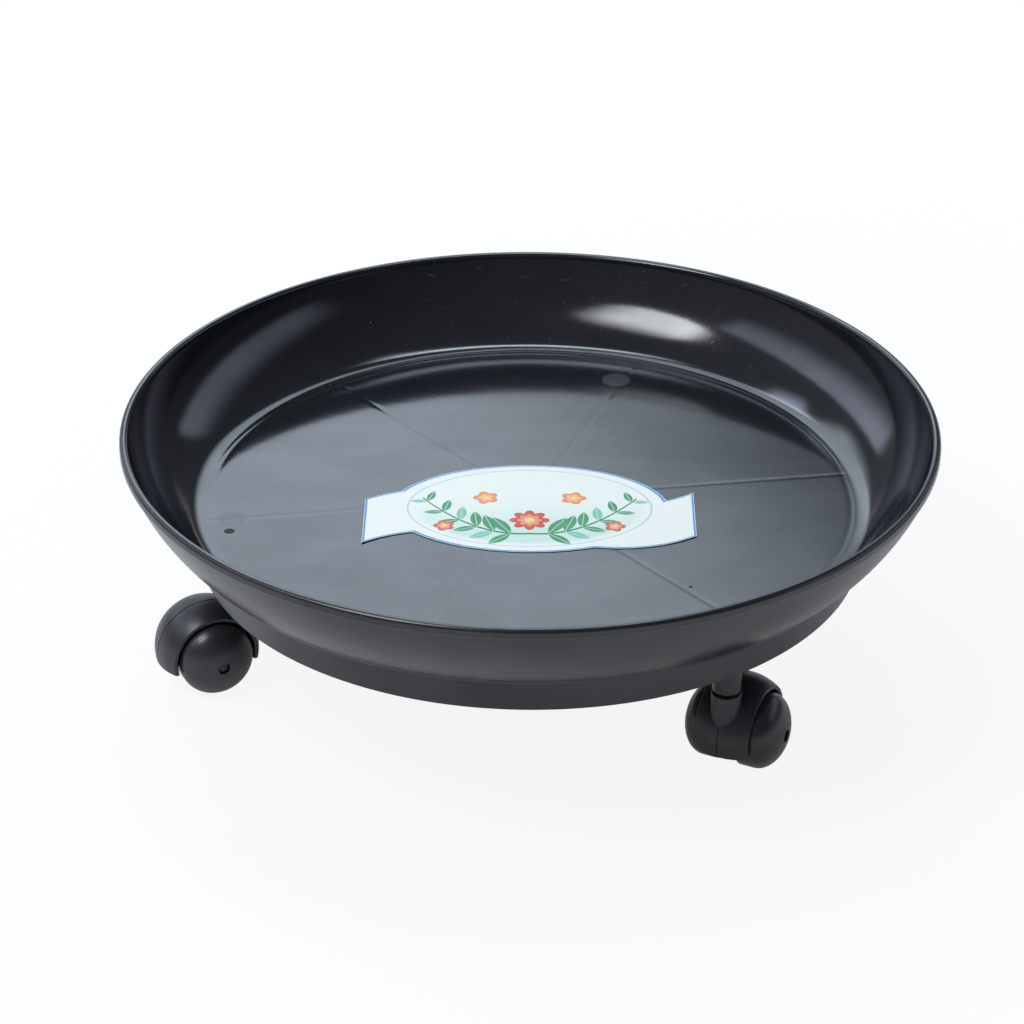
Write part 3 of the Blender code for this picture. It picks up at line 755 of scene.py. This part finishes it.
def ribbon_middle(x):
    """Middle line of the label's wavy ribbon."""
    share = x / RIBBON_DIP_PLACE
    return RIBBON_DIP * (share ** 3 - 3 * share) / 2 - RIBBON_DROP


def label_edge(x, side):
    """Upper (side 1) or lower (side -1) edge of an oval with a longer, wavy ribbon across it."""
    ribbon = ribbon_middle(x) + side * RIBBON_WIDTH / 2
    half_length, half_width = LABEL_LENGTH / 2, LABEL_WIDTH / 2
    if abs(x) > half_length:
        return ribbon
    oval = side * half_width * sqrt(1 - (x / half_length) ** 2)
    return side * max(side * oval, side * ribbon)


def make_label(finish, columns=180, rows=20):
    """The paper label: a thin sheet on the floor whose ends lift a little."""
    end = RIBBON_LENGTH / 2
    verts, faces = [], []
    for column in range(columns + 1):
        x = RIBBON_LENGTH * (column / columns - 0.5)
        bottom, top = label_edge(x, -1), label_edge(x, 1)
        for row in range(rows + 1):
            y = bottom + (top - bottom) * row / rows
            uneven = 0.6 + 0.4 * sin(90 * y + 3 * x)
            curl = LABEL_CURL * step_up(abs(x), 0.8 * end, 1.04 * end) * uneven
            verts.append((x, y + LABEL_SHIFT, FLOOR_TOP + LABEL_LIFT + LABEL_THICKNESS + curl))
    for column in range(columns):
        for row in range(rows):
            first = column * (rows + 1) + row
            faces.append((first, first + rows + 1, first + rows + 2, first + 1))
    mesh = bpy.data.meshes.new("label_sheet")
    mesh.from_pydata(verts, [], faces)
    sheet = add("label_sheet", mesh)
    thick = sheet.modifiers.new("Thickness", "SOLIDIFY")
    thick.thickness = LABEL_THICKNESS
    thick.offset = -1.0
    bpy.context.view_layer.update()
    solid = bpy.data.meshes.new_from_object(sheet.evaluated_get(bpy.context.evaluated_depsgraph_get()))
    bpy.data.objects.remove(sheet)
    label = add("label_sheet", smooth(solid), finish)
    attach(label, "tray")
    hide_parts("label")


def wheel_mesh():
    """A domed wheel, turned about its axle: tread, dome with a fine ring near its edge, hub and recess."""
    def dome(a):
        return WHEEL_RADIUS * cos(a), TREAD_END + DOME_DEPTH * sin(a)

    last = asin(sqrt(1 - (AXLE_BORE / WHEEL_RADIUS) ** 2))
    points = [dome(last - (last - RING_HIGH) * step / DOME_STEPS) for step in range(DOME_STEPS + 1)]
    for a in (RING_HIGH, RING_LOW):
        radius, end = dome(a)
        points.append((radius - RING_DEPTH * cos(a), end - RING_DEPTH * sin(a)))
    points += [dome(RING_LOW - RING_LOW * step / DOME_EDGE_STEPS) for step in range(DOME_EDGE_STEPS + 1)]
    points += [
        (WHEEL_RADIUS, WHEEL_INNER),
        (WHEEL_RIM_INSIDE, WHEEL_INNER),
        (WHEEL_RIM_INSIDE, WHEEL_RECESS_END),
        (WHEEL_HUB_RADIUS, WHEEL_RECESS_END),
        (WHEEL_HUB_RADIUS, WHEEL_INNER),
        (AXLE_BORE, WHEEL_INNER),
    ]
    return smooth(lathe("wheel", softened(points, WHEEL_ROUND, closed=True), even_angles(96), closed=True))


def axle_mesh():
    """The axle: a pin with slightly domed ends."""
    half = [(0.0, AXLE_END), (AXLE_RADIUS * 0.6, AXLE_END - AXLE_DOME / 2), (AXLE_RADIUS, AXLE_END - AXLE_DOME)]
    profile = half + [(r, -z) for r, z in reversed(half)]
    return smooth(on_axle(lathe("axle", softened(profile, AXLE_ROUND), even_angles(40))))


def stem_mesh():
    """The stem: a steel pin with a collar between the hood and the boss."""
    collar_top, collar_foot = BOSS_BOTTOM - FIT_GAP, HOUSING_TOP + FIT_GAP
    profile = [
        (0.0, STEM_TOP),
        (STEM_RADIUS, STEM_TOP),
        (STEM_RADIUS, collar_top),
        (COLLAR_RADIUS, collar_top),
        (COLLAR_RADIUS, collar_foot),
        (STEM_RADIUS, collar_foot),
        (STEM_RADIUS, STEM_BOTTOM),
        (0.0, STEM_BOTTOM),
    ]
    return smooth(lathe("stem", softened(profile, STEM_ROUND), even_angles(48)))


def hood_profile():
    """Section of the hood along its axle: seam, arch, lips, wheel spaces and web."""
    edge = (HOOD_EDGE_RADIUS, HOOD_HALF_WIDTH)
    other_edge = (HOOD_EDGE_RADIUS, -HOOD_HALF_WIDTH)
    arch = [edge] + arc(edge, other_edge, HOOD_EDGE_RADIUS - HOOD_CROWN_RADIUS, count=48)
    half = [point for point in arch if point[1] > SEAM_WIDTH]
    seam = [(HOOD_CROWN_RADIUS, SEAM_WIDTH / 2 + SEAM_SLOPE), (HOOD_CROWN_RADIUS - SEAM_DEPTH, SEAM_WIDTH / 2)]
    inside = [
        (AXLE_BORE, WEB_HALF),
        (WHEEL_SPACE_RADIUS, WEB_HALF),
        (WHEEL_SPACE_RADIUS, HOOD_HALF_WIDTH),
    ]
    side = softened([(AXLE_BORE, 0.0)] + inside + half[:2], HOOD_ROUND)[1:-1] + half[1:] + seam
    return side + [(r, -z) for r, z in reversed(side)]


def hood_mesh():
    """The hood: a ball-shaped cover over both wheels, with its stem housing."""
    shell = on_axle(lathe("hood", hood_profile(), even_angles(120), closed=True))
    below = AXLE_HEIGHT - HOOD_SKIRT_DROP
    outside = HOOD_HALF_WIDTH + WHEEL_CUT_MARGIN
    housing = softened(pin(HOUSING_RADIUS, HOUSING_TOP, AXLE_HEIGHT), HOUSING_ROUND)
    spaces = [(outside, WEB_HALF), (-WEB_HALF, -outside)]
    wheel_spaces = [
        ("DIFFERENCE", on_axle(lathe("space", pin(WHEEL_SPACE_RADIUS, top, bottom), even_angles(120))))
        for top, bottom in spaces
    ]
    post = carved("housing", lathe("housing", housing, even_angles(64)), wheel_spaces)
    bore = pin(STEM_BORE, HOUSING_TOP + CUT_MARGIN, STEM_BOTTOM - FIT_GAP)
    block = (-CUT_BLOCK, -CUT_BLOCK, below - CUT_BLOCK), (CUT_BLOCK, CUT_BLOCK, below)
    steps = [
        ("UNION", post),
        ("DIFFERENCE", lathe("bore", bore, even_angles(48))),
        ("DIFFERENCE", box_mesh("below", *block)),
    ]
    return smooth(carved("hood", smooth(shell), steps))


def make_casters(finishes):
    """Three casters, each at its stem and turned to where it trails."""
    hood, axle, stem, wheel = hood_mesh(), axle_mesh(), stem_mesh(), wheel_mesh()
    meshes = {"hood": hood, "axle": axle, "stem": stem}
    for name, (index, trail) in CASTERS.items():
        place = Matrix.Translation(stem_place(index)) @ Matrix.Rotation(trail, 4, "Z")
        for kind, mesh in meshes.items():
            piece = add(f"{name}_{kind}_shape", mesh.copy(), finishes[kind])
            piece.matrix_world = place
            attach(piece, f"{name}_caster")
            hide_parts(f"{name}_{kind}")
        for number, tilt in ((1, -pi / 2), (2, pi / 2)):
            piece = add(f"{name}_wheel_{number}_shape", wheel.copy(), finishes["wheel"])
            lay = Matrix.Translation((TRAIL, 0.0, AXLE_HEIGHT)) @ Matrix.Rotation(tilt, 4, "X")
            piece.matrix_world = place @ lay
            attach(piece, f"{name}_wheel_{number}")
            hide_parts(f"{name}_wheel_{number}")
        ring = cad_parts[f"{name}_grip_ring"]
        ring.data.materials.clear()
        ring.data.materials.append(finishes["ring"])


# Studio

def make_camera():
    """The photograph's viewpoint: a long lens above the rim. Focal length and rim centre are in its pixels."""
    focal, distance, elevation, roll = 3500.0, 1.6256, radians(27.36), 0.00544
    centre_px = (529.6, 421.2)
    half_frame = 512.0
    lens = bpy.data.cameras.new("camera")
    lens.sensor_width = 36.0
    lens.lens = focal / (2 * half_frame) * lens.sensor_width
    lens.clip_end = 50.0
    camera = bpy.data.objects.new("camera", lens)
    SCENE.collection.objects.link(camera)
    target = Vector((0.0, 0.0, RIM_TOP))
    place = target + Vector((0.0, -cos(elevation), sin(elevation))) * distance
    look = (target - place).to_track_quat("-Z", "Y").to_matrix().to_4x4()
    pan = Matrix.Rotation(atan((centre_px[0] - half_frame) / focal), 4, "Y")
    tilt = Matrix.Rotation(atan((centre_px[1] - half_frame) / focal), 4, "X")
    camera.matrix_world = Matrix.Translation(place) @ look @ pan @ tilt @ Matrix.Rotation(roll, 4, "Z")
    SCENE.camera = camera


def panel(name, place, turn, size, brightness, soft, colour, oval=False):
    """A soft box, by the direction, turn and size in degrees at which the dish sees it. Azimuth 0 is behind the dish.

    soft is the share of the box over which it fades at its left, right, lower and upper edge, and an oval box fades
    at its corners too.
    """
    az, el = radians(place[0]), radians(place[1])
    towards = Vector((sin(az) * cos(el), cos(az) * cos(el), sin(el)))
    lamp = bpy.data.lights.new(name, "AREA")
    lamp.shape = "RECTANGLE"
    lamp.size = 2 * PANEL_DISTANCE * tan(radians(size[0]) / 2)
    lamp.size_y = 2 * PANEL_DISTANCE * tan(radians(size[1]) / 2)
    lamp.energy = pi * lamp.size * lamp.size_y * brightness
    lamp.color = colour
    lamp.use_nodes = True
    tree = lamp.node_tree
    spot = node(tree, "NewGeometry").outputs["Parametric"]
    across = node(tree, "SeparateXYZ", {0: spot})
    left, right, low, high = soft
    fades = [(across.outputs[0], 1.0, 1.0 - left), (across.outputs[0], 0.0, right),
             (across.outputs[1], 0.0, low), (across.outputs[1], 1.0, 1.0 - high)]
    strength = 1.0
    for value, edge, full in fades:
        strength = calc(tree, "MULTIPLY", ramp(tree, value, edge, full), strength)
    if oval:
        away = distance_to(tree, spot, (0.5, 0.5, 0.0))
        strength = calc(tree, "MULTIPLY", ramp(tree, away, *OVAL_FADE), strength)
    fill(tree, tree.nodes["Emission"].inputs["Strength"], strength)
    light = bpy.data.objects.new(name, lamp)
    SCENE.collection.objects.link(light)
    light.location = Vector((0.0, 0.0, FLOOR_TOP)) + towards * PANEL_DISTANCE
    spin = Matrix.Rotation(radians(-turn), 4, "Z")
    light.rotation_euler = (towards.to_track_quat("Z", "Y").to_matrix().to_4x4() @ spin).to_euler()


def make_lights():
    """A large key light at the front left, panels behind and beside the dish, and two that line its cove."""
    panel("key", place=(-129.0, 58.0), turn=0.0, size=(35.0, 28.0), brightness=12.0,
          soft=(0.45, 0.20, 0.10, 0.45), colour=WHITE, oval=True)
    panel("back", place=(-9.0, 38.0), turn=-42.0, size=(44.0, 44.0), brightness=2.6,
          soft=(0.20, 0.28, 0.20, 0.20), colour=COOL)
    panel("left", place=(-70.0, 26.8), turn=-20.0, size=(73.0, 25.0), brightness=2.15,
          soft=(0.10, 0.09, 0.75, 0.14), colour=VIOLET)
    panel("right", place=(78.0, 28.0), turn=-2.8, size=(77.5, 27.0), brightness=1.10,
          soft=(0.07, 0.30, 0.25, 0.58), colour=VIOLET)
    panel("left_high", place=(-35.0, 48.0), turn=0.0, size=(26.0, 10.0), brightness=5.0,
          soft=(0.50, 0.20, 0.30, 0.30), colour=VIOLET)
    panel("top", place=(6.0, 72.0), turn=0.0, size=(38.0, 12.0), brightness=10.5,
          soft=(0.30, 0.30, 0.35, 0.35), colour=COOL)


def gloss_rays(tree, path):
    """Whether the surface is seen in gloss or through glass."""
    return calc(tree, "MAXIMUM", path.outputs["Is Glossy Ray"], path.outputs["Is Transmission Ray"])


def make_world():
    """A white surround for the eye and for gloss towards the backdrop, and a dim room elsewhere."""
    world = bpy.data.worlds.new("studio")
    world.use_nodes = True
    tree = world.node_tree
    background = tree.nodes["Background"]
    path = node(tree, "LightPath")
    along = node(tree, "SeparateXYZ", {0: node(tree, "TexCoord").outputs["Generated"]})
    left = calc(tree, "MULTIPLY_ADD", along.outputs[0], -0.5, 0.5)
    room = blend_colour(tree, left, ROOM_RIGHT, ROOM_LEFT)
    gloss = gloss_rays(tree, path)
    behind = ramp(tree, along.outputs[1], *BACKDROP_BEHIND)
    low = ramp(tree, along.outputs[2], *BACKDROP_LOW)
    backdrop = calc(tree, "MULTIPLY", behind, low)
    shown = calc(tree, "MAXIMUM", path.outputs["Is Camera Ray"], calc(tree, "MULTIPLY", gloss, backdrop))
    fill(tree, background.inputs["Color"], blend_colour(tree, shown, room, (1.0, 1.0, 1.0)))
    SCENE.world = world


def make_floor():
    """A plain pale floor that keeps a soft shadow and runs out into the white surround."""
    material, tree, shader = shader_tree("pale_floor")
    shader.inputs["Base Color"].default_value = STUDIO_FLOOR_COLOUR
    shader.inputs["Roughness"].default_value = 0.9
    shader.inputs["Specular IOR Level"].default_value = 0.0
    point = object_point(tree)
    away = node(tree, "VectorMath", {0: point}, operation="LENGTH").outputs["Value"]
    path = node(tree, "LightPath")
    gloss = gloss_rays(tree, path)
    to_eye = calc(tree, "MULTIPLY", ramp(tree, away, *GLOW_TO_EYE), path.outputs["Is Camera Ray"])
    to_gloss = calc(tree, "MULTIPLY", ramp(tree, away, *GLOW_TO_GLOSS), gloss)
    seen = calc(tree, "MAXIMUM", to_eye, to_gloss)
    glow = node(tree, "Emission", {"Color": (1.0, 1.0, 1.0), "Strength": 1.0})
    mix = node(tree, "MixShader", {0: seen, 1: shader.outputs[0], 2: glow.outputs[0]})
    output = tree.nodes["Material Output"]
    tree.links.new(mix.outputs[0], output.inputs["Surface"])
    mesh = bpy.data.meshes.new("floor")
    corners = [(STUDIO_FLOOR_HALF * x, STUDIO_FLOOR_HALF * y, 0.0) for x, y in ((-1, -1), (1, -1), (1, 1), (-1, 1))]
    mesh.from_pydata(corners, [], [(0, 1, 2, 3)])
    floor = add("floor", mesh, material)


def main():
    """Build the looks and the studio."""
    marks = [BACK_MARK]
    marks += [(*stem_place(CASTERS[name][0]).xy, FLOOR_TOP) for name in ("left", "right")]
    tray_black = plastic(
        "tray_black", dark=(0.0078, 0.0092, 0.0118), light=(0.0114, 0.0130, 0.0156), rough=0.10, grain=0.03,
        grain_size=420.0, scuff=0.35, dust=0.06, wave=0.10, haze=marks, outside=0.18, brushed=RUBBED_PLACE,
        spots=DARK_SPOTS)
    hood_black = plastic(
        "hood_black", dark=(0.019, 0.0195, 0.0215), light=(0.025, 0.0255, 0.0275), rough=0.42, grain=0.08,
        grain_size=1500.0, scuff=0.5, dust=0.05)
    wheel_black = plastic(
        "wheel_black", dark=(0.023, 0.0235, 0.0255), light=(0.030, 0.0305, 0.0325), rough=0.33, grain=0.06,
        grain_size=1700.0, scuff=0.5, dust=0.06)
    bright = steel("bright_steel", colour=(0.56, 0.57, 0.58), rough=0.28)
    dark = steel("dark_steel", colour=(0.06, 0.06, 0.065), rough=0.38)
    make_tray(tray_black)
    make_label(printed_paper("label_paper"))
    make_casters({"hood": hood_black, "axle": dark, "stem": bright, "wheel": wheel_black, "ring": bright})
    make_camera()
    make_lights()
    make_world()
    make_floor()
    SCENE.view_settings.view_transform = "Standard"


main()
